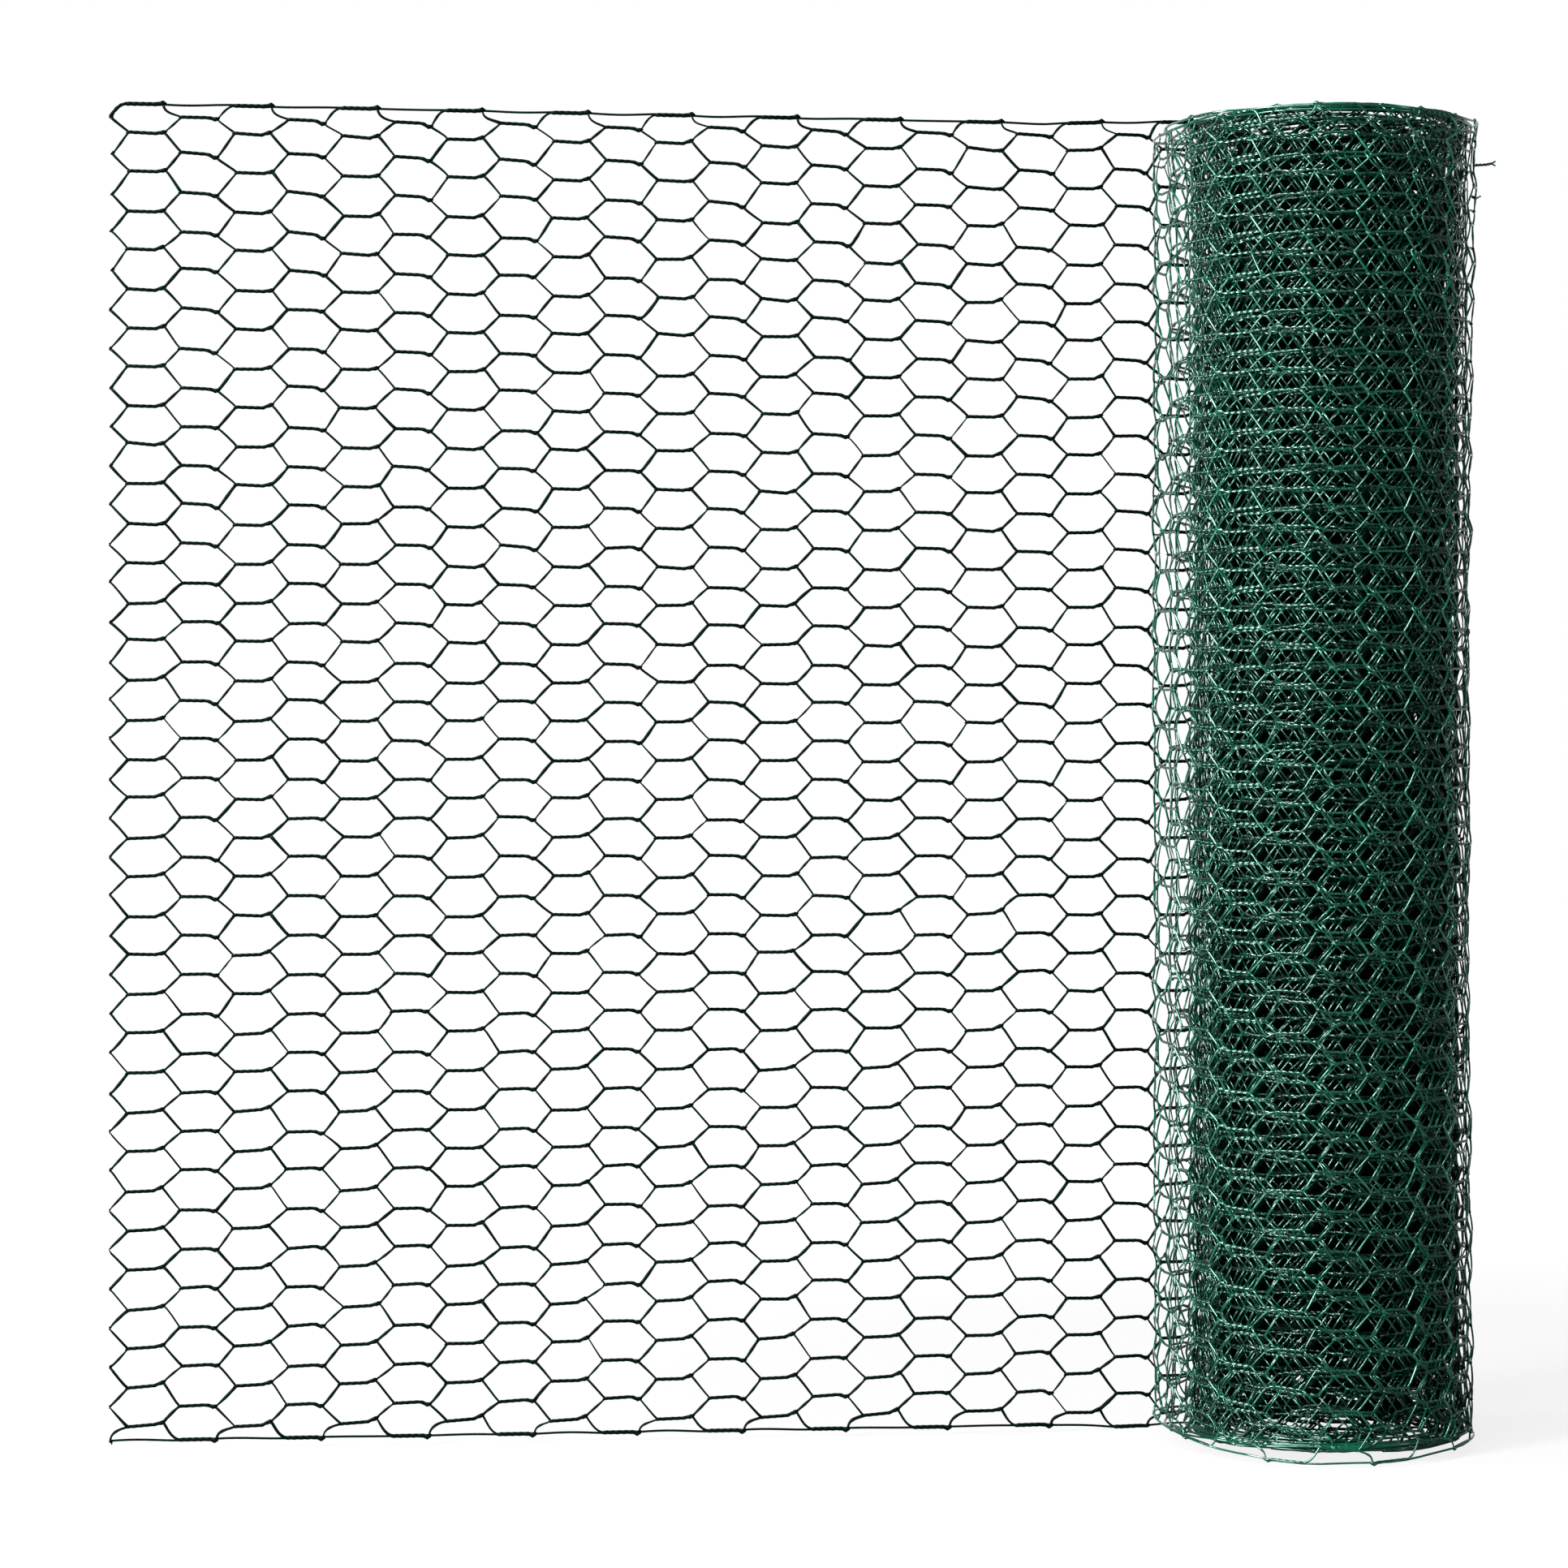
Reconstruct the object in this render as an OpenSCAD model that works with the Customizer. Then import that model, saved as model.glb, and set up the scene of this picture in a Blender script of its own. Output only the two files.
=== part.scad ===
// Roll of hexagonal wire netting standing on its end, with its outer stretch unrolled beside it.
// The roll's axis is Z and its lower end stands on Z = 0. The unrolled stretch runs towards -X.

/* [Netting] */
// Width of the netting, which is the height of the standing roll
net_w = 500; // [250:10:900]
// Clear height of one opening, from twist to twist
mesh_h = 13; // [10:0.5:30]
// Length of a twist, where two wires are wound together
twist_l = 14; // [8:0.5:24]
// Run of a slanting wire between one column of twists and the next
slant_run = 5.8; // [4:0.2:14]
// Thickness of a twist
twist_d = 1.6; // [1.2:0.1:2.4]
// Thickness of a single coated wire
wire_d = 1; // [0.6:0.1:1.6]
// Thickness of the wire along each edge
edge_d = 1.6; // [1:0.1:3]
// Length of the cut stubs on the free end
stub_l = 0.8; // [0.4:0.1:3]

/* [Roll] */
// Outer diameter of the roll
roll_d = 121; // [100:1:200]
// Diameter of the bore inside the innermost turn
bore_d = 44; // [24:1:60]
// Least clear gap between two turns
turn_gap = 0.9; // [0.6:0.05:4]
// Depth of the gaps between the turns, on both ends
end_depth = 6; // [2:0.5:20]

/* [Unrolled stretch] */
// Length of the straight part
flat_l = 317; // [160:1:420]
// Angle round the roll where the netting leaves it
leave_angle = 120; // [95:1:150]
// Radius of the bend between the roll and the straight part
bend_r = 240; // [160:5:300]
// Angle that this bend turns through
bend_angle = 23; // [12:1:32]

/* [Hidden] */

roll_r = roll_d / 2;
bore_r = bore_d / 2;

// The gap between the turns is one spiral, from just outside the innermost turn to just inside
// the outermost one.
gap_in_r = bore_r + twist_d + turn_gap / 2;
gap_out_r = roll_r - twist_d - turn_gap / 2;
gap_turns = floor((gap_out_r - gap_in_r) / (twist_d + turn_gap));
turn_pitch = (gap_out_r - gap_in_r) / gap_turns;
turn_facets = 24;

// Twists stand in columns, and every other column is half a row higher.
col_pitch = twist_l + slant_run;
half_row = (mesh_h + twist_d) / 2;
half_twist = twist_l / 2;
inner_w = net_w - 2 * edge_d;
last_level = floor(inner_w / half_row) - 1;
first_z = edge_d + (inner_w - last_level * half_row) / 2;

// Steps from column to column, counted from the roll
bend_steps = max(2, round(bend_r * bend_angle * PI / 180 / col_pitch));
flat_steps = max(2, round(flat_l / col_pitch));
steps = bend_steps + flat_steps;
inner_steps = floor(flat_steps / 2);
end_l = half_twist + slant_run + stub_l;
sheet_t = max(twist_d, edge_d);
past = 1;

// Height of level n: the edge wires' inner faces below 0 and above last_level, twists between.
function level(n) = n < 0 ? edge_d : n > last_level ? net_w - edge_d : first_z + n * half_row;

// A column holds every second level. The last column holds the upper edge wire's level.
function holds(col, n) = (steps - col + n + 2) % 2 == 0;

// Sideways room that a slanting wire takes from an opening, where it climbs by rise over run.
function slant_room(rise, run) = wire_d / 2 * norm([run, rise]) / rise;

// Half width of an opening at height z, between two slants that start at the twist at from_z
// and reach the next column at tip_z.
function half_width(z, from_z, tip_z, run) =
    half_twist + run * (z - from_z) / (tip_z - from_z) - slant_room(abs(tip_z - from_z), run);

// Height at which the lower and the upper slants of an opening meet.
function meet_z(low, tip, high, run) =
    let (
        rise = tip - low,
        fall = high - tip,
        room = (slant_room(rise, run) - slant_room(fall, run)) / run
    )
    (low / rise + high / fall + room) / (1 / rise + 1 / fall);

// Direction in plan from a column to the next one
function heading(col) = leave_angle + 90 - bend_angle * min(col + 1, bend_steps) / bend_steps;

function along(angle, length) = length * [cos(angle), sin(angle)];

// Middle of a column in plan. The first lies on the roll's outer turn.
function middle(col) =
    col == 0
        ? along(leave_angle, roll_r + sheet_t / 2)
        : middle(col - 1) + along(heading(col - 1), col_pitch);

// Point beside a column's middle in plan, square to the mean of its two steps
function beside(col, side) =
    middle(col) + along((heading(max(col - 1, 0)) + heading(col)) / 2 + 90, side);

// Hexagonal opening between the twists at levels n and n + 2
module hexagon(n, run) {
    low = level(n);
    tip = level(n + 1);
    high = level(n + 2);
    low_z = low + twist_d / 2;
    high_z = high - twist_d / 2;
    mid_z = meet_z(low, tip, high, run);
    low_x = half_width(low_z, low, tip, run);
    mid_x = half_width(mid_z, low, tip, run);
    high_x = half_width(high_z, high, tip, run);
    polygon([
        [-low_x, low_z], [low_x, low_z], [mid_x, mid_z],
        [high_x, high_z], [-high_x, high_z], [-mid_x, mid_z]
    ]);
}

// Opening between an edge wire and the twist next to it, which runs past the edge wire's face
module edge_opening(twist_z, face_z, run) {
    way = sign(face_z - twist_z);
    near_z = twist_z + way * twist_d / 2;
    far_z = face_z + way * past;
    near_x = half_width(near_z, twist_z, face_z, run);
    far_x = half_width(far_z, twist_z, face_z, run);
    polygon([[-near_x, near_z], [near_x, near_z], [far_x, far_z], [-far_x, far_z]]);
}

// All openings of one column
module column_openings(col, run) {
    for (n = [-1:last_level - 1])
        if (holds(col, n)) hexagon(n, run);
    if (holds(col, 0)) edge_opening(level(0), level(-1), run);
    if (holds(col, last_level)) edge_opening(level(last_level), level(last_level + 1), run);
}

// Netting of several steps as an outline, from the middle of one column, longer by before and after
module net(first, count, run, before, after) {
    pitch = twist_l + run;
    difference() {
        translate([-before, edge_d]) square([before + count * pitch + after, inner_w]);
        for (i = [0:count + ceil(after / pitch)])
            translate([i * pitch, 0]) column_openings(first + i, run);
    }
}

// Stands an outline upright on a line in plan, with its thickness centred on that line.
module upright(point, angle, thickness) {
    translate(concat(point, 0))
        rotate(angle)
            translate([0, thickness / 2, 0])
                rotate([90, 0, 0])
                    linear_extrude(thickness) children();
}

// Flat netting from the middle of one column over several steps
module panel(first, count, after = 0) {
    upright(middle(first), heading(first), twist_d) net(first, count, slant_run, 0, after);
}

// Strip in plan along the columns from first to last
module strip(first, last, thickness, tail = 0) {
    half = thickness / 2;
    beyond = along(heading(last), tail);
    near = [for (col = [first:last]) beside(col, -half) + (col == last ? beyond : [0, 0])];
    far = [for (col = [last:-1:first]) beside(col, half) + (col == last ? beyond : [0, 0])];
    polygon(concat(near, far));
}

// Wire along the whole unrolled stretch, out to the free end
module edge_wire() {
    linear_extrude(edge_d) strip(0, steps, edge_d, end_l);
}

// Points along one side of the spiral gap
function gap_side(side) = [
    for (k = [0:gap_turns * turn_facets])
        along(
            leave_angle + 360 * k / turn_facets,
            gap_in_r + turn_pitch * k / turn_facets + side * (turn_pitch - twist_d) / 2
        )
];

// Spiral gap between the turns, as deep as it shows on an end
module turn_gaps() {
    near = gap_side(-1);
    far = gap_side(1);
    linear_extrude(end_depth + past)
        polygon(concat(near, [for (k = [len(far) - 1:-1:0]) far[k]]));
}

module roll() {
    color("darkgreen")
        difference() {
            rotate_extrude() translate([bore_r, 0]) square([roll_r - bore_r, net_w]);
            translate([0, 0, -past]) turn_gaps();
            translate([0, 0, net_w - end_depth]) turn_gaps();
        }
}

// The net is laid out on the bend's chord and cut to the curved strip.
module bend() {
    chord = middle(bend_steps) - middle(0);
    run = norm(chord) / bend_steps - twist_l;
    color("darkslategray")
        intersection() {
            upright(middle(0), atan2(chord[1], chord[0]), roll_d)
                net(0, bend_steps, run, past, past);
            linear_extrude(net_w) strip(0, bend_steps, twist_d);
        }
}

module sheet_inner() {
    color("darkslategray") panel(bend_steps, inner_steps);
}

module sheet_outer() {
    color("darkslategray") panel(bend_steps + inner_steps, flat_steps - inner_steps, end_l);
}

module top_edge() {
    color("green") translate([0, 0, net_w - edge_d]) edge_wire();
}

module bottom_edge() {
    color("green") edge_wire();
}

roll();
bend();
sheet_inner();
sheet_outer();
top_edge();
bottom_edge();
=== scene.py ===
import bpy
import numpy as np
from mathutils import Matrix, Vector


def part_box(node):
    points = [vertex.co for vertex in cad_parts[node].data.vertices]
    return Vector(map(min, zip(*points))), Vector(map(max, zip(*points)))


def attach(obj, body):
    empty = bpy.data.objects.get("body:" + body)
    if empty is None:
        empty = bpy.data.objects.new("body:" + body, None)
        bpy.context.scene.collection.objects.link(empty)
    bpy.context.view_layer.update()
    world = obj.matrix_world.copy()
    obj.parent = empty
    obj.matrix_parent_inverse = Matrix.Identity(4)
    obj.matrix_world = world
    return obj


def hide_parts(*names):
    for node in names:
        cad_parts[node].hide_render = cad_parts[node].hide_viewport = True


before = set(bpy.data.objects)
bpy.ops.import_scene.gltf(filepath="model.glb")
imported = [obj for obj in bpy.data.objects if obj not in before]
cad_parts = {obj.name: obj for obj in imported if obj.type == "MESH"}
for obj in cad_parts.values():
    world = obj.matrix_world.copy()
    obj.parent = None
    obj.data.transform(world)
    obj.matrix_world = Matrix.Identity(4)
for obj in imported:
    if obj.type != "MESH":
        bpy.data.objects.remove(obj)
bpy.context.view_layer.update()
mm = 0.001

# Roll of hexagonal wire netting. Lengths are in millimetres until a mesh is put in.
# The net is laid out flat: s runs along it from the cut end, v up its width, and w off its face,
# inwards where it is wound. Then it is carried along a path in plan: the straight stretch, the
# bend and the wound turns.

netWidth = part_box("roll")[1].z / mm      # as wide as the CAD roll is high

net = {
    "columnPitch": 19.8,     # from one column of twists to the next
    "twistLength": 14.0,
    "woundTwist": 1.05,      # on the roll they are longer by this factor,
    "woundPower": 8,         # growing towards it with this power of the way there
    "endLength": 13.6,       # from the cut end to the first column's middle
    "firstRow": 6.2,         # height of the lowest free twists
    "halfRow": 7.305,        # every other column is this much higher
    "topPull": 1.4,          # the uppermost free twists are pulled down by the edge
    "rows": 35,              # twists in a column, with the one on an edge wire
    "edgeInset": 0.9,        # edge wire's middle from the net's edge
    "stub": 0.8,             # what the cut leaves of the column before the first
}

path = {
    "leaveAngle": 120.0,     # where the net leaves the roll, degrees round the axis
    "bendAngle": 23.0,       # turned between there and the straight stretch
    "bendSteps": 5,          # columns of twists in the bend
    "straightSteps": 16,     # and in the straight stretch
    "pull": 1.015,           # the unrolled stretch is pulled this much longer and wider
    # turns wound from the leaving point, the radius there, and the centre's shift to the right
    "turns": [0.0, 0.33, 0.85, 1.33, 1.83, 2.83, 4.0, 12.83, 18.9],
    "radius": [61.3, 58.2, 61.7, 57.2, 56.6, 55.2, 50.8, 45.4, 24.6],
    "shift": [0.0, 0.0, 0.2, 0.4, 0.9, 1.8, 3.9, 5.3, 1.2],
    "offsets": (5.2, 1.5, 1.5),         # in front, columns stand this far off those of the turn outside
    "perTurn": 360,          # points of the table in one turn
    "spacing": 0.5,          # and their distance along the unrolled stretch
}

sag = {
    "frontTurn": 0.58,       # turns from the leaving point to the front, where the foot rests
    "hang": 2.3,             # the outer turn's foot is this high at its sides, twice that behind
    "tailRise": 0.8,         # the cut end's foot, above where the net leaves
    "middleRise": (1.4, 2.0),           # the outer turn's middle, where the net leaves and in front
    "frontTurns": (0.0, 0.4),           # between these turns it changes from the one to the other
    "innerTurns": (0.85, 1.2),          # and between these from the outer turn's lie to the inner
    "innerRise": 4.9,        # the inner turns' middle
    "innerWaist": 1.2,       # and what their edges are drawn in
    "waist": (5.2, 1.6),     # the outer turn's edges are drawn in at its sides, more at the left
    "waistTurns": (-0.3, 0.1),          # where that begins
    "waistPower": 7,         # it dies away from the edges with this power
    "spread": (1.036, 1.005),           # the net is this much wider where it leaves and in front
    "spreadTurns": (-0.2, 0.0, 0.4, 0.9, 1.2),      # unrolled, leaving, in front twice, and inside
    "clearance": 0.5,        # of the flat foot above the floor, at least
    "pushReach": 12.0,       # height over which the push up from the floor dies away
    "seed": 11,
    "driftStep": 0.95,       # turns between the values of each drift
    "belly": 1.3,            # rows drift up or down, most of all a little below half way,
    "bellyPower": 1.5,       # which this power moves down
    "wave": 0.8,             # and one way below, the other above
    "lean": 1.3,             # columns lean
    "foot": 0.55,            # whole turns rise or fall
    "edges": 1.1,            # both edges of a turn spread or draw in
    "freeShare": 0.25,       # share of these on the unrolled stretch
    "shareTurns": (-0.1, 0.9),          # between these turns it grows to 1
    "flare": ((1.2, 2.0, 9.0, 14.0), (0.0, 2.0, 2.6, 0.0)),     # inner turns, wider at both ends
    "flareReach": 26.0,      # height over which the flare dies away
    "hourglass": ((0.0, 0.33, 0.8), (0.0, 2.6, 0.0)),   # the outer turn, wider at both ends
    "hourglassTop": 0.3,     # and more so at the top, by this share
}


# The plan curve as a table of s, x, y, heading and turns. Unrolled, the direction turns evenly
# from straight to the roll's tangent. Wound, radius and centre follow the number of turns, and each
# turn takes up the whole number of columns nearest to its length, plus the offset wanted.
def pathTable():
    leave = np.radians(path["leaveAngle"])
    bendLength = path["bendSteps"] * net["columnPitch"]
    straight = path["straightSteps"] * net["columnPitch"] + net["endLength"]
    start = path["radius"][0] * np.array([np.cos(leave), np.sin(leave)])

    sFree = np.arange(0.0, straight + bendLength, path["spacing"])
    turned = np.radians(path["bendAngle"]) * np.clip((sFree - straight) / bendLength, 0, 1)
    direction = leave - np.pi / 2 - np.radians(path["bendAngle"]) + turned
    away = np.stack([np.cos(direction), np.sin(direction)], 1) * path["spacing"] * path["pull"]
    unrolled = start - np.cumsum(away[::-1], 0)[::-1]

    turn = np.linspace(0, path["turns"][-1], int(path["turns"][-1] * path["perTurn"]))
    radius = np.interp(turn, path["turns"], path["radius"])
    shift = np.interp(turn, path["turns"], path["shift"])
    angle = leave - 2 * np.pi * turn
    wound = np.stack([shift + radius * np.cos(angle), radius * np.sin(angle)], 1)

    points = np.concatenate([unrolled, wound])
    woundS = np.concatenate([[0.0], np.cumsum(np.linalg.norm(np.diff(wound, axis=0), axis=1))])
    front = np.arange(int(path["turns"][-1])) + sag["frontTurn"]
    natural = np.diff(np.interp(front, turn, woundS))
    offset = np.resize(path["offsets"], len(natural))
    taken = offset + net["columnPitch"] * np.round((natural - offset) / net["columnPitch"])
    woundS = woundS + np.interp(turn, front, np.concatenate([[0.0], np.cumsum(taken - natural)]))
    s = np.concatenate([sFree, sFree[-1] + path["spacing"] + woundS])
    before = (sFree - sFree[-1] - 1) / (2 * np.pi * path["radius"][0])      # under 0 all along
    slope = np.gradient(points, axis=0)
    heading = np.unwrap(np.arctan2(slope[:, 1], slope[:, 0]))
    return s, points, heading, np.concatenate([before, turn])


pathS, pathPoints, pathHeading, pathTurn = pathTable()
pathCurve = -np.gradient(pathHeading, pathS)
leavingS = pathS[np.argmax(pathTurn >= 0)]
print(f"path: {leavingS:.0f} unrolled, {pathS[-1]:.0f} in all")

chance = np.random.default_rng(sag["seed"])
driftTurn = np.arange(-2, path["turns"][-1] + 2, sag["driftStep"])
drift = chance.normal(0, 1, (5, len(driftTurn)))


# How the net really lies, still flat. Its foot rises and falls from turn to turn. Its rows drift
# by a half wave and a whole wave up its width, and its edges are drawn in or spread by a power of
# the height from the middle. Its columns lean, the turns flare at both ends, and the unrolled
# stretch is pulled wider. The outer turn rests on the floor in front only: its foot rises by 1
# less the cosine of the angle from there. Where the foot would still be under the floor, the
# lowest rows are pushed up.
def settle(points):
    s, v, w = points[..., 0], points[..., 1], points[..., 2]
    turn = np.interp(s, pathS, pathTurn)
    around = 2 * np.pi * (np.maximum(turn, 0) - sag["frontTurn"])
    inner = np.interp(turn, sag["innerTurns"], [0, 1])
    up = v / netWidth
    fromMiddle = 2 * up - 1
    belly, wave, lean, foot, edges = (np.interp(turn, driftTurn, row) for row in drift)
    share = np.interp(turn, sag["shareTurns"], [sag["freeShare"], 1.0])

    # how much wider the net is, how high its middle hangs and how far its edges are drawn in
    leaving, front = sag["spread"]
    wide = np.interp(turn, sag["spreadTurns"], [path["pull"], leaving, front, front, 1.0])
    hung = sag["hang"] * (1 - np.cos(around)) - sag["tailRise"] * np.clip(turn, -1, 0)
    hung = hung + np.interp(turn, sag["frontTurns"], sag["middleRise"])
    rise = hung + (sag["innerRise"] - hung) * inner + sag["foot"] * foot * (turn > 1)
    waist = (sag["waist"][0] + sag["waist"][1] * np.sin(around)) * np.sin(around) ** 2
    waist = waist * np.interp(turn, sag["waistTurns"], [0, 1])
    waist = waist + (sag["innerWaist"] - waist) * inner

    # where its rows come to lie
    bulge = np.sin(np.pi * np.maximum(1 - up, 0) ** sag["bellyPower"])
    rows = sag["belly"] * belly * bulge + sag["wave"] * wave * np.sin(2 * np.pi * up)
    rows = rows + (sag["edges"] * edges * (turn > 1) - waist) * fromMiddle ** sag["waistPower"]
    lifted = netWidth / 2 + (v - netWidth / 2) * wide + share * rows + rise
    under = np.maximum(sag["clearance"] - netWidth / 2 * (1 - wide) - rise - waist, 0)
    lifted = lifted + under * np.exp(-np.maximum(v, 0) / sag["pushReach"])

    # and how far it stands out
    flare = np.interp(turn, *sag["flare"]) * np.exp(-np.minimum(v, netWidth - v) / sag["flareReach"])
    skewed = fromMiddle ** 2 * (1 + sag["hourglassTop"] * fromMiddle)
    flare = flare + np.interp(turn, *sag["hourglass"]) * skewed
    return np.stack([s + share * sag["lean"] * lean * fromMiddle, lifted, w - flare], -1)


# Flat net points to the frame: the path's point at s, plus w along the path's normal, at v.
def place(points):
    s, v, w = np.moveaxis(settle(points), -1, 0)
    x = np.interp(s, pathS, pathPoints[:, 0])
    y = np.interp(s, pathS, pathPoints[:, 1])
    heading = np.interp(s, pathS, pathHeading)
    return np.stack([x + w * np.sin(heading), y - w * np.cos(heading), v], -1) * mm


uneven = {
    "along": 0.30,           # a twist's middle stands off its place along the net,
    "up": 0.28,              # up it,
    "off": 0.40,             # and off its face
    "tilt": 0.022,           # radians, on top of the fan below
    "fan": 0.045,            # twists tilt down to the right at the top, up at the bottom
    "step": 0.95,            # a twist's right end steps up, and in the next column down,
    "stepRange": (0.5, 1.3),            # by between these shares of it,
    "cutStep": 0.3,          # and by this share in the column that is cut away
    "bow": 0.30,             # slants bow by this
    "thin": 0.14,            # share by which single wires differ in thickness
    "taper": 0.30,           # and by which one end of a slant is thicker than the other
}

# The ends of every twist in flat net lengths, by column and row. Column -1 is the one cut away.
halfTwist = net["twistLength"] / 2
columns = int((pathS[-1] - net["endLength"] - halfTwist) / net["columnPitch"])      # as many as fit
column = np.arange(-1, columns)[:, None]
level = 2 * np.arange(net["rows"])[None, :] - column % 2
topLevel = 2 * net["rows"] - 2
low, high = net["edgeInset"], netWidth - net["edgeInset"]
height = net["firstRow"] + net["halfRow"] * level - net["topPull"] * (level == topLevel - 1)
height = np.where(level < 0, low, np.where(level == topLevel, high, height))
onEdge = (level < 0) | (level == topLevel)
free = 1.0 - onEdge

shape = level.shape
sMiddle = net["endLength"] + net["columnPitch"] * column + chance.normal(0, uneven["along"], shape)
vMiddle = height + free * chance.normal(0, uneven["up"], shape)
wMiddle = free * chance.normal(0, uneven["off"], shape)
tilt = free * (chance.normal(0, uneven["tilt"], shape) + uneven["fan"] * (1 - 2 * height / netWidth))
stepShare = np.where(column % 2, -1, 1) * chance.uniform(*uneven["stepRange"], shape)
stepUp = free * uneven["step"] * stepShare

middle = np.stack([sMiddle, vMiddle, wMiddle], -1)
woundShare = np.interp(sMiddle, [pathS[0], leavingS], [0, 1]) ** net["woundPower"]
halves = halfTwist * (1 + (net["woundTwist"] - 1) * woundShare)
reach = halves[..., None] * np.stack([np.cos(tilt), np.sin(tilt), 0 * tilt], -1)
leftEnd, rightEnd = middle - reach, middle + reach
leftEnd[0] = rightEnd[0] - [net["stub"], 0, 0]
stepUp[0] *= uneven["cutStep"]
node = rightEnd + np.stack([0 * stepUp, stepUp, 0 * stepUp], -1)      # where the slants leave
print(f"net: {columns} columns, {level[1:].size} twists")


# How finely a stretch is made: rings and sides of a twist, points and sides of a slant, the
# thickness of both against the wire's, and the share of it that is added where it is hidden.
def fineness(rings, sides, slantPoints, slantSides, twistThick, slantThick, fat=0.0):
    return {
        "rings": rings, "sides": sides, "slantPoints": slantPoints, "slantSides": slantSides,
        "twistThick": twistThick, "slantThick": slantThick, "fat": fat,
    }


fine = fineness(13, 5, 5, 5, 1.06, 1.02)
slim = fineness(13, 5, 5, 5, 0.80, 0.76)         # as it looks on the roll
plain = fineness(9, 4, 3, 4, 0.82, 0.78)
rough = fineness(7, 3, 3, 3, 0.90, 0.84)
rougher = fineness(5, 3, 2, 3, 0.90, 0.84)
roughest = fineness(5, 3, 2, 3, 1.10, 1.20, 2.0)        # where only its shade shows

wire = {
    "single": 0.48,          # radius of one coated wire
    "lobeHigh": 0.71,        # a twist's profile swings between these two half axes
    "lobeLow": 0.60,
    "skew": 0.36,            # lean of the lobes along the twist
    "wound": 3.0,            # turns of one wire round the other in a twist
    "overlap": 0.03,         # a twist's tube runs past its ends by this share
    "climbFrom": 0.72,       # share of a twist at which it starts to step up or down
    "climbOver": 0.22,       # and over which it does
    "knot": 0.34,            # thickening at a twist's right end,
    "knotAt": 0.93,          # at this share of it
    "knotWidth": 0.07,
    "knotRise": 0.5,         # and its rise off an edge wire
    "edgeTwist": 1.18,       # a twist on an edge wire is thicker by this factor
    "fatFrom": 7.5,          # height from the net's edge at which hidden wires start to be thicker
    "fatOver": 25.0,         # and over which they become so
}

slant = {
    "into": 0.45,            # a slant starts and ends this far inside its twists
    "handle": (1.2, 1.1, 0.2),          # its ends' handles: along the net, up or down, off its face
    "offEdge": (0.3, 3.2, 0.3),         # the same where it starts on an edge wire,
    "offEdgeEnd": 3.6,       # along the net at that slant's other end,
    "ontoEdge": (3.8, 0.0, 0.0),        # and where it ends on an edge wire
    "edgePoints": 4,         # more points on a finely made slant there
    "bead": 0.14,            # thickening half way along every other finely made slant
    "beadWidth": 0.13,
    "thinnest": 0.26,
    "fatPower": 1.3,         # hidden slants are thicker than hidden twists by this power
    "seed": 50,              # plus the stretch's first column
}

edge = {
    "radius": 0.46,
    "steps": 3,              # rings to a column
    "fineSteps": 6,          # and where it is finely made
    "wave": 0.20,            # it waves in time with the twists on it,
    "ripple": 0.12,          # and has a ripple out of time with them,
    "rippleLength": 5.3,     # this long for each radian
}


# Tubes along many lines at once. Each ring is an ellipse across its line, tall up the net's face
# and deep off it, whose upper half leans along the line. Each point also keeps its cosine and sine
# round the line and the turns wound so far, or noughts where nothing is wound.
def sweep(points, tall, deep, sides, lean=0.0, wound=0.0):
    along = np.gradient(points, axis=1)
    along /= np.linalg.norm(along, axis=2, keepdims=True)
    up = np.stack([-along[..., 1], along[..., 0], 0 * along[..., 0]], -1)
    up /= np.linalg.norm(up, axis=2, keepdims=True)
    off = np.cross(along, up)
    around = (np.arange(sides) + 0.5) * 2 * np.pi / sides
    c, s = np.cos(around)[:, None], np.sin(around)[:, None]
    tall, deep = (np.broadcast_to(a, points.shape[:2])[..., None, None] for a in (tall, deep))
    rings = points[:, :, None] + (tall * up[:, :, None] + lean * along[:, :, None]) * c
    rings = rings + deep * off[:, :, None] * s

    lines, count = points.shape[:2]
    number = np.arange(lines * count * sides).reshape(lines, count, sides)
    ahead = np.roll(number, -1, 2)
    quads = np.stack([number[:, :-1], ahead[:, :-1], ahead[:, 1:], number[:, 1:]], -1)
    caps = np.concatenate([number[:, 0, ::-1], number[:, -1]])
    turns = np.linspace(0, wound, count)[:, None] + 0 * around
    wind = np.stack([np.cos(around) + 0 * turns, np.sin(around) + 0 * turns, turns], -1)
    wind = np.broadcast_to(wind * (wound > 0), rings.shape)
    return rings.reshape(-1, 3), [quads.reshape(-1, 4), caps], wind.reshape(-1, 3)


# How much thicker hidden wires are: nothing near the net's edges, which show, then evenly more
# with the height from them, up to 1 plus the kind's own share.
def fatness(v, kind):
    inside = np.clip((np.minimum(v, netWidth - v) - wire["fatFrom"]) / wire["fatOver"], 0, 1)
    return 1 + kind["fat"] * inside


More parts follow.
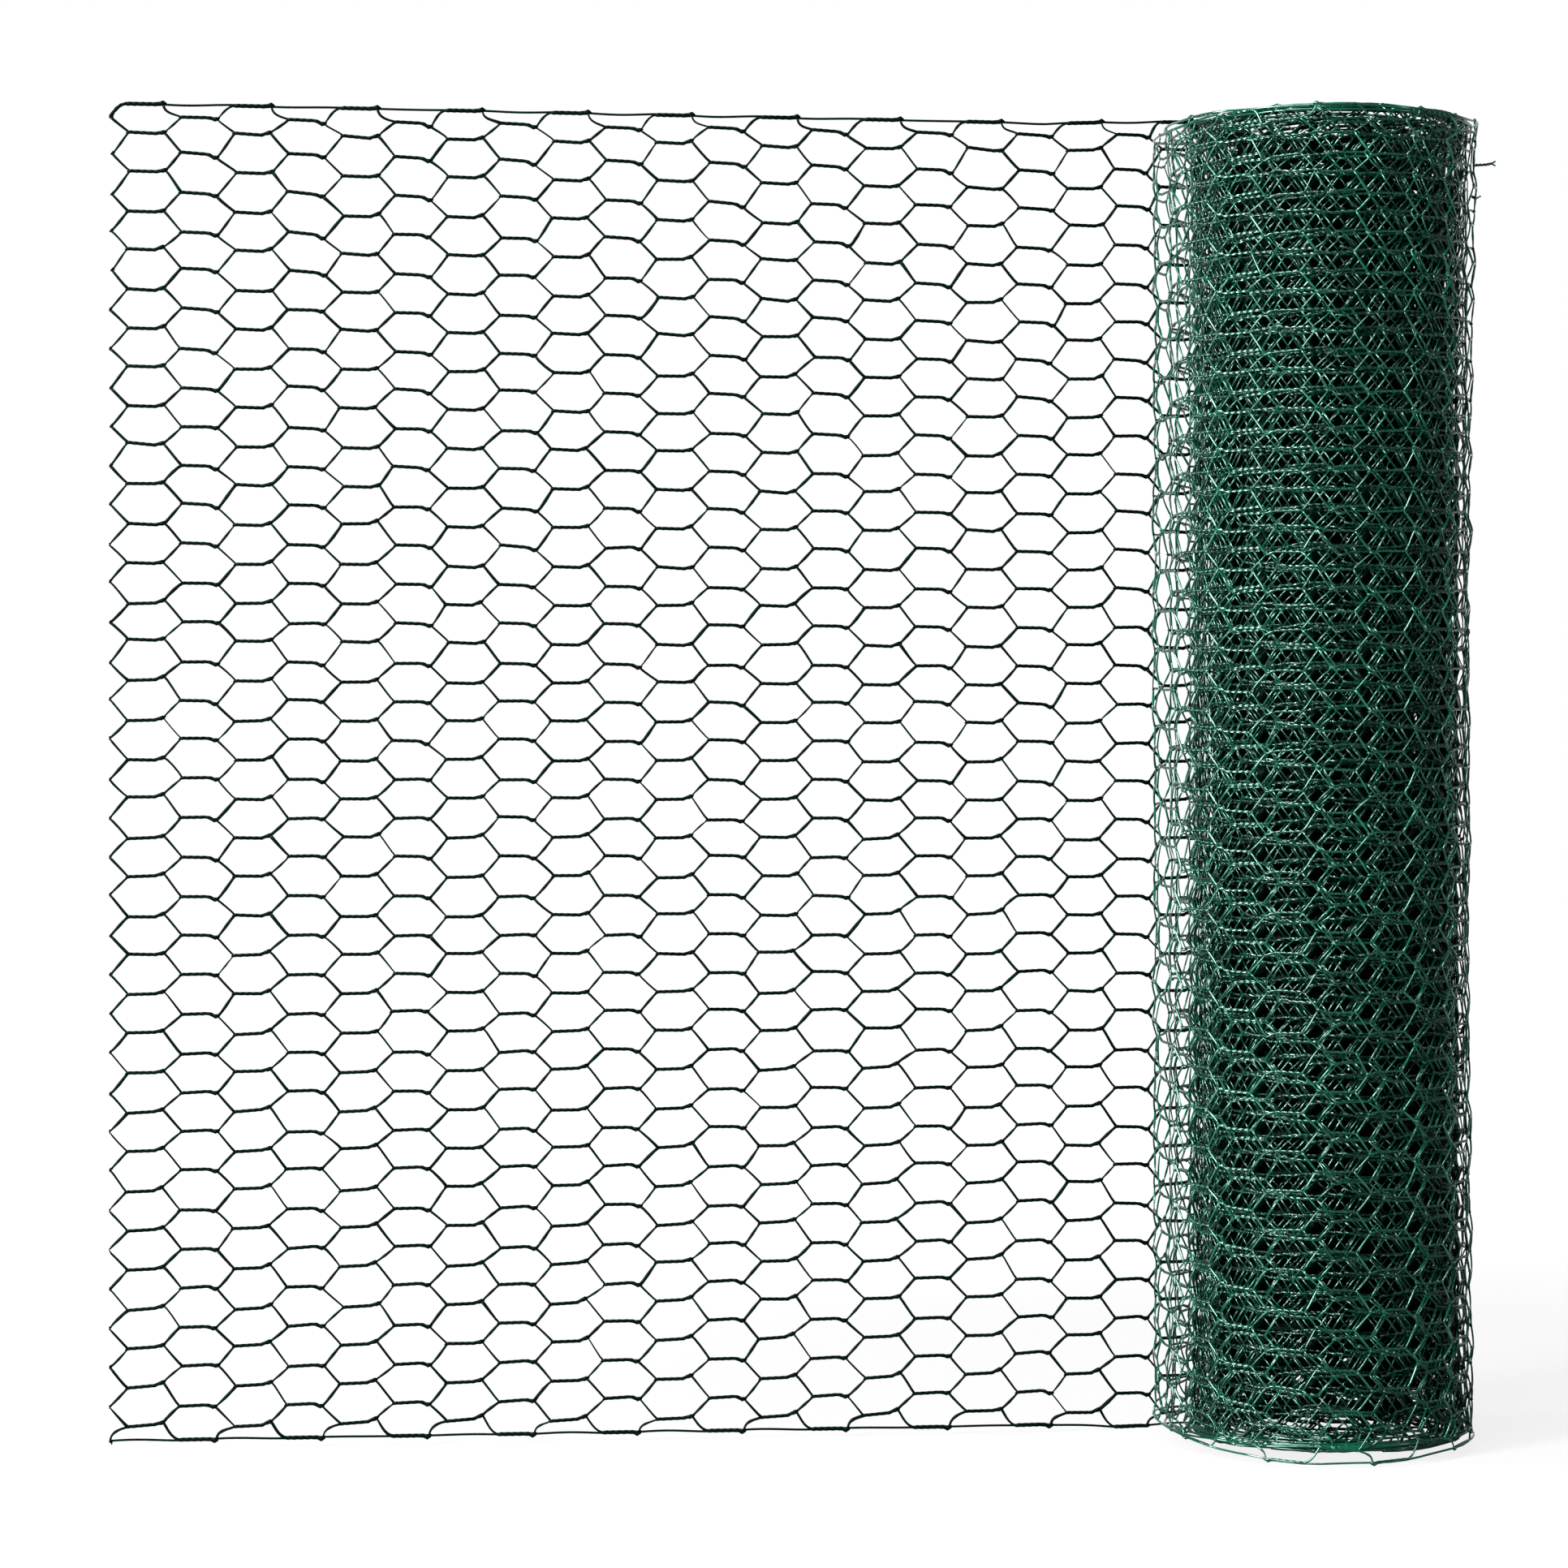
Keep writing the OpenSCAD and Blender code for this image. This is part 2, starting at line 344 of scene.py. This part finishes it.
# Two wires wound together: one tube whose ellipse swings between upright and flat, two rings to
# a lobe. It closes in at both ends, and its last part steps up or down to the node in a smooth
# step, by way of a knot, which is a bell in the thickness. On the wound turns a twist stays
# straight, so its middle lies inside the curve by the curvature times half the square of half
# its length, less towards its ends.
def twists(first, last, kind):
    run = slice(first + 1, last + 1)
    a, b = (end[run].reshape(-1, 1, 3) for end in (leftEnd, rightEnd))
    t = np.linspace(-wire["overlap"], 1 + wire["overlap"], kind["rings"])
    points = a + (b - a) * t[None, :, None]
    climb = np.clip((t - wire["climbFrom"]) / wire["climbOver"], 0, 1)
    points[..., 1] += stepUp[run].reshape(-1, 1) * climb * climb * (3 - 2 * climb)
    points[..., 2] += np.interp(a[..., 0], pathS, pathCurve) * halfTwist ** 2 * 2 * t * (1 - t)
    swing = np.arange(kind["rings"]) % 2
    tall = np.where(swing, wire["lobeHigh"], wire["lobeLow"])
    deep = np.where(swing, wire["lobeLow"], wire["lobeHigh"])
    tall[[0, -1]] = deep[[0, -1]] = wire["single"]
    edged = onEdge[run].reshape(-1, 1)
    thick = np.where(edged, wire["edgeTwist"], 1.0)
    knot = np.exp(-((t - wire["knotAt"]) / wire["knotWidth"]) ** 2)
    outward = np.where(a[..., 1] > netWidth / 2, 1, -1) * edged
    points[..., 1] += wire["knotRise"] * outward * knot
    thick = thick * kind["twistThick"] * fatness(a[:, :, 1], kind) * (1 + wire["knot"] * knot)
    return sweep(points, tall * thick, deep * thick, kind["sides"], wire["skew"], wire["wound"])


# Point t of the cubic curve from a to b that leaves by handle da and arrives by handle db.
def curve(a, da, db, b, t):
    t = t[None, :, None]
    a, da, db, b = (p[:, None] for p in (a, da, db, b))
    return (1 - t) ** 3 * a + 3 * t * (1 - t) ** 2 * (a + da) + 3 * t * t * (1 - t) * (b - db) + t ** 3 * b


# Single wires from a node to the next column's left ends, one down and one up, each a cubic
# curve of uneven thickness and taper. They leave and arrive nearly level, the same way at both
# ends. Off an edge wire they start upright, and onto it they arrive along it.
def slants(first, last, kind):
    fromColumn = np.arange(first, last)[:, None, None]
    way = np.array([-1, 1])[:, None]
    fromRow = np.arange(net["rows"])
    toRow = fromRow + (way + np.where(fromColumn % 2, -1, 1)) // 2
    held = (toRow >= 0) & (toRow < net["rows"])
    fromColumn, way, fromRow = (np.broadcast_to(x, held.shape)[held] for x in (fromColumn, way, fromRow))
    toRow = toRow[held]
    a, fromEdge = node[fromColumn + 1, fromRow], onEdge[fromColumn + 1, fromRow]
    b, toEdge = leftEnd[fromColumn + 2, toRow], onEdge[fromColumn + 2, toRow]
    random = np.random.default_rng(first + slant["seed"])
    thick = wire["single"] * (1 + random.normal(0, uneven["thin"], len(a)))
    bow = random.normal(0, uneven["bow"], len(a))
    taper = random.normal(0, uneven["taper"], len(a))
    flat = np.zeros(len(a))
    inside = np.array([slant["into"], 0, 0])
    ahead, rise, off = slant["handle"]
    leave = np.stack([ahead + flat, rise * way + bow, off * way], -1)
    arrive = np.stack([ahead + flat, rise * way - bow, -off * way], -1)
    ahead, rise, off = slant["offEdge"]
    leave[fromEdge] = np.stack([ahead + flat, rise * way, off + flat], -1)[fromEdge]
    arrive[fromEdge, 0] = slant["offEdgeEnd"]
    arrive[toEdge] = slant["ontoEdge"]

    finely = kind["rings"] > plain["rings"]
    parts = []
    for edged in (False, True):
        chosen = (fromEdge | toEdge) == edged
        if not chosen.any():
            continue
        count = kind["slantPoints"] + slant["edgePoints"] * (edged and finely)
        t = np.linspace(0, 1, count)
        points = curve((a - inside)[chosen], leave[chosen], arrive[chosen], (b + inside)[chosen], t)
        bell = np.exp(-((t - 0.5) / slant["beadWidth"]) ** 2)
        bead = slant["bead"] * bell * (way[chosen] > 0)[:, None]
        radius = (thick[chosen] * kind["slantThick"])[:, None] * (1 + taper[chosen][:, None] * (t - 0.5))
        radius = np.maximum(radius, slant["thinnest"]) + bead * finely
        radius = radius * fatness(points[..., 1], kind) ** slant["fatPower"]
        parts.append(sweep(points, radius, radius, kind["slantSides"]))
    return parts


# The wire along one edge over a run of columns: the sum of a gentle wave in time with the twists
# on it and a ripple out of time with them.
def edgeWire(start, end, v, kind):
    spacing = net["columnPitch"] / edge["fineSteps" if kind is fine else "steps"]
    s = np.linspace(start, end, int((end - start) / spacing) + 2)
    wave = edge["wave"] * np.sin(s * np.pi / net["columnPitch"])
    wave = wave + edge["ripple"] * np.sin(s / edge["rippleLength"])
    points = np.stack([s, v + wave, 0 * s], -1)[None]
    return sweep(points, edge["radius"], edge["radius"], kind["slantSides"])


corner = {
    "rings": 9,
    "sides": 6,
    "leave": (0.6, 1.4, 0.2),           # handles at the corner and at the first twist
    "arrive": (3.4, 0.3, 0.0),
    "radius": 0.66,
    "swing": 0.10,           # its ellipse swings by this between upright and flat
    "lump": 0.55,            # thickening where it is wound off,
    "lumpWidth": 0.14,       # over this share of it
    "skew": 0.2,
    "wound": 1.8,
}


# The top edge's end, doubled back: from the first twist on the edge down to the corner, with a
# lump where it is wound off, which is half a bell.
def cornerWind():
    t = np.linspace(0, 1, corner["rings"])
    leave, arrive = np.array([corner["leave"]]), np.array([corner["arrive"]])
    points = curve(node[0, -1:], leave, arrive, leftEnd[1, -1:], t)
    thick = corner["radius"] + corner["lump"] * np.exp(-(t / corner["lumpWidth"]) ** 2)
    swing = corner["swing"] * np.cos(np.pi * np.arange(corner["rings"]))
    return sweep(points, thick + swing, thick - swing, corner["sides"], corner["skew"], corner["wound"])


stray = {
    "inside": 0.4,           # its root lies this far inside the turn
    "back": 0.25,            # share of its reach by which it lies back along the net
    "bend": 0.4,             # it curves up towards its tip
    "rings": 11,
    "sides": 5,
    "radius": 0.56,
    "swing": 0.14,
    "skew": 0.3,
    "wound": 2.5,
    "tip": (0.9, 1.6),       # a parted tip goes up or down, and out,
    "tipHandles": (0.2, 0.5),           # in a curve with these shares of it as handles
    "tipRings": 4,
    "tipRadius": 0.36,
}

# Where stray ends leave the outer turn, in turns and height, how far they reach out and up, and
# which way their tips part.
strayEnds = {
    "roll_cut_end": {"turn": 0.335, "v": 483.2, "out": 7.0, "rise": 0.9, "tips": (1, -1)},
    "roll_cut_tip": {"turn": 0.330, "v": 471.0, "out": 1.8, "rise": -0.6, "tips": (1,)},
}


# A cut end that stands off the outer turn: two wires wound together in a shallow curve, whose
# tips part.
def strayEnd(turn, v, out, rise, tips):
    root = np.array([[np.interp(turn, pathTurn, pathS), v, stray["inside"]]])
    tip = root + [[-stray["back"] * out, rise, -out]]
    third = (tip - root) / 3
    t = np.linspace(0, 1, stray["rings"])
    stem = curve(root, third, third + [[0, stray["bend"], 0]], tip, t)
    swing = stray["swing"] * np.cos(np.pi * np.arange(stray["rings"]))
    tall, deep = stray["radius"] + swing, stray["radius"] - swing
    parts = [sweep(stem, tall, deep, stray["sides"], stray["skew"], stray["wound"])]
    for way in tips:
        parting = np.array([[0.0, stray["tip"][0] * way, -stray["tip"][1]]])
        leave, arrive = (parting * handle for handle in stray["tipHandles"])
        t = np.linspace(0, 1, stray["tipRings"])
        end = curve(tip, leave, arrive, tip + parting, t)
        parts.append(sweep(end, stray["tipRadius"], stray["tipRadius"], stray["sides"]))
    return parts


# Joins tubes into one mesh in the frame, smooth all over. As attributes each point keeps how far
# along the net it lies, in metres, and how it is wound.
def putMesh(name, parts, material, replaced=None):
    verts, along, winds, loops, sizes = [], [], [], [], []
    offset = 0
    for points, faceSets, turned in parts:
        verts.append(place(points))
        along.append(points[:, 0] * mm)
        winds.append(turned)
        for faces in faceSets:
            loops.append((faces + offset).ravel())
            sizes.append(np.full(len(faces), faces.shape[1]))
        offset += len(points)
    verts, along, winds, loops, sizes = (np.concatenate(a) for a in (verts, along, winds, loops, sizes))
    mesh = bpy.data.meshes.new(name)
    mesh.vertices.add(len(verts))
    mesh.vertices.foreach_set("co", verts.astype(np.float32).ravel())
    mesh.loops.add(len(loops))
    mesh.loops.foreach_set("vertex_index", loops.astype(np.int32))
    mesh.polygons.add(len(sizes))
    starts = np.concatenate([[0], np.cumsum(sizes)[:-1]])
    mesh.polygons.foreach_set("loop_start", starts.astype(np.int32))
    alongNet = mesh.attributes.new("along", "FLOAT", "POINT")
    alongNet.data.foreach_set("value", along.astype(np.float32))
    wind = mesh.attributes.new("wind", "FLOAT_VECTOR", "POINT")
    wind.data.foreach_set("vector", winds.astype(np.float32).ravel())
    mesh.update(calc_edges=True)
    mesh.shade_smooth()
    mesh.materials.append(material)
    piece = bpy.data.objects.new(name, mesh)
    bpy.context.scene.collection.objects.link(piece)
    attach(piece, "root")
    if replaced:
        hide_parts(replaced)
    print(f"{name}: {(sizes - 2).sum()} triangles")


coat = {
    "slowScale": 60,         # slow changes of tone
    "slowDetail": 3,
    "toneFrom": (0.34, 0.66),           # where in them the dark tone ends and the light one begins
    "fleckScale": 1300,      # fine flecks in the gloss and dimples in the coat
    "fleckDetail": 2,
    "fleckFrom": (0.3, 0.7),
    "bumpDistance": 0.0003,  # metres
    "wires": 2,              # wound together in a twist
}


# Coated wire. The green varies slowly from place to place, and painted shade darkens it along the
# net towards the inner turns, which the outer turns keep in shadow. Where two wires are wound
# together, half of 1 plus the cosine of twice the angle round less the turns wound is 1 on the wires'
# backs and 0 in the groove between them: painted shade darkens the groove, and a bump sinks it.
def coatMaterial(name, shade):
    mat = bpy.data.materials.new(name)
    mat.use_nodes = True
    nodes, links = mat.node_tree.nodes, mat.node_tree.links
    shader = nodes["Principled BSDF"]

    # one sum, of numbers or of other nodes' values
    def math(operation, *values):
        made = nodes.new("ShaderNodeMath")
        made.operation = operation
        for socket, value in zip(made.inputs, values):
            if isinstance(value, (int, float)):
                socket.default_value = value
            else:
                links.new(value, socket)
        return made.outputs[0]

    # a value carried evenly from one span to another
    def mapped(value, fromSpan, toSpan):
        made = nodes.new("ShaderNodeMapRange")
        links.new(value, made.inputs["Value"])
        made.inputs["From Min"].default_value, made.inputs["From Max"].default_value = fromSpan
        made.inputs["To Min"].default_value, made.inputs["To Max"].default_value = toSpan
        return made.outputs["Result"]

    # cloudy noise at the piece's own place
    def noiseAt(scale, detail):
        made = nodes.new("ShaderNodeTexNoise")
        made.inputs["Scale"].default_value = scale
        made.inputs["Detail"].default_value = detail
        links.new(where.outputs["Object"], made.inputs["Vector"])
        return made.outputs["Fac"]

    # the named attribute that putMesh keeps
    def attribute(attributeName):
        made = nodes.new("ShaderNodeAttribute")
        made.attribute_name = attributeName
        return made

    where = nodes.new("ShaderNodeTexCoord")
    wind = nodes.new("ShaderNodeSeparateXYZ")
    links.new(attribute("wind").outputs["Vector"], wind.inputs[0])
    x, y, turns = wind.outputs      # x and y are 0 where nothing is wound
    angle = math("MULTIPLY", math("ARCTAN2", y, x), coat["wires"])
    phase = math("SUBTRACT", angle, math("MULTIPLY", turns, 2 * np.pi * coat["wires"]))
    back = math("MULTIPLY_ADD", math("COSINE", phase), 0.5, 0.5)
    isWound = math("GREATER_THAN", math("ADD", math("ABSOLUTE", x), math("ABSOLUTE", y)), 0.1)
    # the groove: painted shade in the colour, and a real dip through the bump
    groove = math("MULTIPLY", isWound, math("SUBTRACT", 1.0, back))

    tone = nodes.new("ShaderNodeValToRGB")
    for stop, position, colour in zip(tone.color_ramp.elements, coat["toneFrom"], ("dark", "light")):
        stop.position = position
        stop.color = (*shade[colour], 1)
    links.new(noiseAt(coat["slowScale"], coat["slowDetail"]), tone.inputs["Fac"])
    # painted shade: darker along the net towards the inner turns, and in the grooves of twists
    depth = mapped(attribute("along").outputs["Fac"], shade["paintedShadeFrom"], (1.0, shade["paintedShadeTo"]))
    darken = math("MULTIPLY", depth, math("SUBTRACT", 1.0, math("MULTIPLY", groove, shade["groove"])))
    scaled = nodes.new("ShaderNodeVectorMath")
    scaled.operation = "SCALE"
    links.new(tone.outputs["Color"], scaled.inputs[0])
    links.new(darken, scaled.inputs["Scale"])
    links.new(scaled.outputs[0], shader.inputs["Base Color"])

    fleck = noiseAt(coat["fleckScale"], coat["fleckDetail"])
    links.new(mapped(fleck, coat["fleckFrom"], shade["rough"]), shader.inputs["Roughness"])
    relief = math("SUBTRACT", math("MULTIPLY", fleck, shade["dimple"]), groove)
    bump = nodes.new("ShaderNodeBump")
    bump.inputs["Strength"].default_value = shade["bump"]
    bump.inputs["Distance"].default_value = coat["bumpDistance"]
    links.new(relief, bump.inputs["Height"])
    links.new(bump.outputs["Normal"], shader.inputs["Normal"])
    shader.inputs["Specular IOR Level"].default_value = shade["specular"]
    shader.inputs["IOR"].default_value = shade["ior"]
    shader.inputs["Specular Tint"].default_value = (*shade["glint"], 1)
    return mat


# paintedShadeFrom is where along the net, in metres, painted shade starts to darken the coat, and
# where it has darkened it to paintedShadeTo of its tone; groove is how much painted shade darkens the
# groove of a twist. The four are copies of one wire coat: the outer turns' copy is the lightest, and
# the deeper, inner and sheet copies are darker as painted shade.
rollShade = {
    "dark": (0.0004, 0.066, 0.036), "light": (0.0016, 0.152, 0.084),
    "rough": (0.06, 0.13), "bump": 0.9, "dimple": 0.10,
    "groove": 0.8, "paintedShadeFrom": (1.2, 2.8), "paintedShadeTo": 0.45,
    "specular": 1.0, "ior": 1.90, "glint": (0.64, 1.0, 0.89),
}
# darker than the outer turns' coat: painted shade for the turns inside them
deeperShade = {
    "dark": (0.0005, 0.045, 0.025), "light": (0.0018, 0.098, 0.057),
    "rough": (0.08, 0.16), "bump": 0.8, "dimple": 0.10,
    "groove": 0.8, "paintedShadeFrom": (1.2, 2.8), "paintedShadeTo": 0.6,
    "specular": 1.0, "ior": 1.80, "glint": (0.60, 1.0, 0.86),
}
# nearly black: painted shade for the roll's shadowed inside
coreShade = {
    "dark": (0.0003, 0.006, 0.004), "light": (0.0008, 0.013, 0.009),
    "rough": (0.25, 0.45), "bump": 0.6, "dimple": 0.3,
    "groove": 0.5, "paintedShadeFrom": (1.4, 3.0), "paintedShadeTo": 0.8,
    "specular": 0.08, "ior": 1.5, "glint": (0.75, 1.0, 0.93),
}
# darker than the roll's coat: painted shade on the unrolled net, the same wire as the roll's
sheetShade = {
    "dark": (0.0004, 0.0055, 0.0036), "light": (0.0011, 0.0115, 0.0075),
    "rough": (0.30, 0.50), "bump": 0.8, "dimple": 0.4,
    "groove": 0.5, "paintedShadeFrom": (0.9, 2.6), "paintedShadeTo": 0.30,
    "specular": 0.10, "ior": 1.5, "glint": (0.45, 0.90, 0.78),
}
rollMaterial = coatMaterial("greenCoat", rollShade)
deeperMaterial = coatMaterial("deeperShadedGreenCoat", deeperShade)
coreMaterial = coatMaterial("innerShadedGreenCoat", coreShade)
sheetMaterial = coatMaterial("sheetShadedGreenCoat", sheetShade)


# Turns from the leaving point at which each stretch of the wound net ends.
stretchTurns = {"outer": 1.08, "second": 3.4, "loose": 6.4, "deeper": 13.0, "core": 16.0}


# Last column before a number of turns from the leaving point.
def columnAt(turn):
    return int((np.interp(turn, pathTurn, pathS) - net["endLength"]) / net["columnPitch"])


# The netting of a run of columns, with its slants to the column after it.
def netting(first, last, kind):
    return [twists(first, last, kind), *slants(first, min(last, columns - 1), kind)]


straightColumns = path["straightSteps"]
tailColumns = straightColumns + path["bendSteps"]
sheetSplit = straightColumns // 2
outerColumn = columnAt(stretchTurns["outer"])
secondColumn = columnAt(stretchTurns["second"])
looseColumn = columnAt(stretchTurns["loose"])
deeperColumn = columnAt(stretchTurns["deeper"])
coreColumn = columnAt(stretchTurns["core"])

# Name, first column, column past the last, how finely made, coat, slot and the node it replaces.
stretches = (
    ("sheet_outer_net", -1, sheetSplit, fine, sheetMaterial, "netting_sheet", "sheet_outer"),
    ("sheet_inner_net", sheetSplit, straightColumns, fine, sheetMaterial, "netting_sheet", "sheet_inner"),
    ("bend_net", straightColumns, tailColumns, fine, sheetMaterial, "netting_sheet", "bend"),
    ("outer_turn_net", tailColumns, outerColumn, slim, rollMaterial, "netting_roll", "roll"),
    ("second_turns_net", outerColumn, secondColumn, plain, rollMaterial, "netting_roll", None),
    ("loose_turns_net", secondColumn, looseColumn, rough, rollMaterial, "netting_roll", None),
    ("deeper_turns_net", looseColumn, deeperColumn, rougher, deeperMaterial, "netting_roll", None),
    ("core_turns_net", deeperColumn, coreColumn, roughest, coreMaterial, "netting_roll", None),
    ("inner_turns_net", coreColumn, columns, roughest, coreMaterial, "netting_roll", None),
)
for name, first, last, kind, material, slotName, replaced in stretches:
    putMesh(name, netting(first, last, kind), material, replaced)

# The upper edge wire begins at the first twist on it, the lower at the cut.
cutTop, cutBottom = net["endLength"] - halfTwist, net["stub"]
leaving = net["endLength"] + net["columnPitch"] * tailColumns
innerEnd = net["endLength"] + net["columnPitch"] * (columns - 1)
edgeWires = (("top", high, cutTop, "top_edge"), ("bottom", low, cutBottom, "bottom_edge"))
for name, v, start, replaced in edgeWires:
    putMesh(f"sheet_{name}_wire", [edgeWire(start, leaving, v, fine)], sheetMaterial, replaced)
    putMesh(f"roll_{name}_wire", [edgeWire(leaving, innerEnd, v, plain)], rollMaterial)

putMesh("sheet_corner", [cornerWind()], sheetMaterial)
for name, settings in strayEnds.items():
    putMesh(name, strayEnd(**settings), rollMaterial)


studio = {
    "distance": 1600.0,      # camera in front of the roll's axis,
    "cameraX": -203.1,       # left of it
    "cameraZ": 252.0,        # and above the floor, in millimetres
    "lens": 96.0,
    "sensor": 36,
    "farthest": 50,          # metres that it sees
    "aim": (-0.05, 0.0, 0.25),          # where the lamps point, in metres
    "floorSize": 14.0,       # metres
    "worldLight": 0.06,
    "floorColour": 0.18,
    "floorLift": (0.84, 1.0),        # white added to the floor as seen, near and far
    "floorFade": (0.4, 1.2),         # metres from the object over which it changes
    "behind": (0.6, 0.95),           # and over which the white behind the object comes in
}

view = bpy.context.scene.view_settings
view.view_transform = "Standard"

camera = bpy.data.objects.new("camera", bpy.data.cameras.new("camera"))
bpy.context.scene.collection.objects.link(camera)
camera.location = Vector((studio["cameraX"], -studio["distance"], studio["cameraZ"])) * mm
camera.rotation_euler = (np.pi / 2, 0, 0)
camera.data.sensor_width = studio["sensor"]
camera.data.lens = studio["lens"]
camera.data.clip_end = studio["farthest"]
bpy.context.scene.camera = camera


# 1 where the camera or glass looks straight at this, and 0 for lighting rays: the most of the
# three kinds of ray. Gloss counts behind the object only, so that the room in front stays dim.
def seenFactor(nodes, links):
    rays = nodes.new("ShaderNodeLightPath")
    here = nodes.new("ShaderNodeTexCoord")
    apart = nodes.new("ShaderNodeSeparateXYZ")
    links.new(here.outputs["Object"], apart.inputs[0])
    behind = nodes.new("ShaderNodeMapRange")
    links.new(apart.outputs["Y"], behind.inputs["Value"])
    behind.inputs["From Min"].default_value, behind.inputs["From Max"].default_value = studio["behind"]
    gloss = nodes.new("ShaderNodeMath")
    gloss.operation = "MULTIPLY"
    links.new(rays.outputs["Is Glossy Ray"], gloss.inputs[0])
    links.new(behind.outputs["Result"], gloss.inputs[1])
    seen = rays.outputs["Is Camera Ray"]
    for other in (gloss.outputs[0], rays.outputs["Is Transmission Ray"]):
        most = nodes.new("ShaderNodeMath")
        most.operation = "MAXIMUM"
        links.new(seen, most.inputs[0])
        links.new(other, most.inputs[1])
        seen = most.outputs[0]
    return seen


# White where it is seen, and dim where it lights.
def whiteWorld():
    world = bpy.data.worlds.new("studio")
    world.use_nodes = True
    nodes, links = world.node_tree.nodes, world.node_tree.links
    dim = nodes["Background"]
    dim.inputs["Color"].default_value = (1, 1, 1, 1)
    dim.inputs["Strength"].default_value = studio["worldLight"]
    white = nodes.new("ShaderNodeBackground")
    white.inputs["Color"].default_value = (1, 1, 1, 1)
    mix = nodes.new("ShaderNodeMixShader")
    links.new(seenFactor(nodes, links), mix.inputs[0])
    links.new(dim.outputs[0], mix.inputs[1])
    links.new(white.outputs[0], mix.inputs[2])
    links.new(mix.outputs[0], nodes["World Output"].inputs["Surface"])
    return world


# A grey floor that keeps a faint shadow. Where it is seen, white is added, more of it with the
# distance from the object.
def paleFloor():
    mat = bpy.data.materials.new("paleFloor")
    mat.use_nodes = True
    nodes, links = mat.node_tree.nodes, mat.node_tree.links
    pale = nodes["Principled BSDF"]
    pale.inputs["Base Color"].default_value = (*[studio["floorColour"]] * 3, 1)
    pale.inputs["Roughness"].default_value = 0.9
    pale.inputs["Specular IOR Level"].default_value = 0.0
    pale.inputs["Emission Color"].default_value = (1, 1, 1, 1)
    where = nodes.new("ShaderNodeTexCoord")
    away = nodes.new("ShaderNodeVectorMath")
    away.operation = "LENGTH"
    links.new(where.outputs["Object"], away.inputs[0])
    fade = nodes.new("ShaderNodeMapRange")
    links.new(away.outputs["Value"], fade.inputs["Value"])
    fade.inputs["From Min"].default_value, fade.inputs["From Max"].default_value = studio["floorFade"]
    fade.inputs["To Min"].default_value, fade.inputs["To Max"].default_value = studio["floorLift"]
    lift = nodes.new("ShaderNodeMath")
    lift.operation = "MULTIPLY"
    links.new(seenFactor(nodes, links), lift.inputs[0])
    links.new(fade.outputs["Result"], lift.inputs[1])
    links.new(lift.outputs[0], pale.inputs["Emission Strength"])
    return mat


bpy.context.scene.world = whiteWorld()

half = studio["floorSize"] / 2
corners = [(-half, -half, 0), (half, -half, 0), (half, half, 0), (-half, half, 0)]
floorMesh = bpy.data.meshes.new("floor")
floorMesh.from_pydata(corners, [], [(0, 1, 2, 3)])
floorMesh.materials.append(paleFloor())
floor = bpy.data.objects.new("floor", floorMesh)
bpy.context.scene.collection.objects.link(floor)


# Bearing to the right of the camera's and height, in degrees, then metres and watts.
lamps = {
    "keyLamp": {"bearing": -45, "up": 22, "distance": 2.6, "size": (0.6, 1.8), "power": 79},
    "rightLamp": {"bearing": 60, "up": 5, "distance": 2.3, "size": (0.2, 1.2), "power": 3},
    "topLamp": {"bearing": -28, "up": 50, "distance": 2.6, "size": (1.5, 0.25), "power": 32},
    "leftLamp": {"bearing": -85, "up": 15, "distance": 2.6, "size": (0.4, 1.6), "power": 36},
    "lowLamp": {"bearing": -30, "up": -4, "distance": 2.4, "size": (0.8, 0.15), "power": 8},
}


# A soft lamp that stands its distance from the aim, at its bearing and height, and faces it.
def softLamp(name, bearing, up, distance, size, power):
    turned, raised = np.radians(bearing), np.radians(up)
    toLamp = Vector((np.sin(turned) * np.cos(raised), -np.cos(turned) * np.cos(raised), np.sin(raised)))
    lamp = bpy.data.lights.new(name, "AREA")
    lamp.shape = "RECTANGLE"
    lamp.size, lamp.size_y = size
    lamp.energy = power
    holder = bpy.data.objects.new(name, lamp)
    holder.location = Vector(studio["aim"]) + distance * toLamp
    holder.rotation_euler = toLamp.to_track_quat("Z", "Y").to_euler()
    bpy.context.scene.collection.objects.link(holder)


for name, settings in lamps.items():
    softLamp(name, **settings)
print(f"studio: {len(lamps)} lamps")
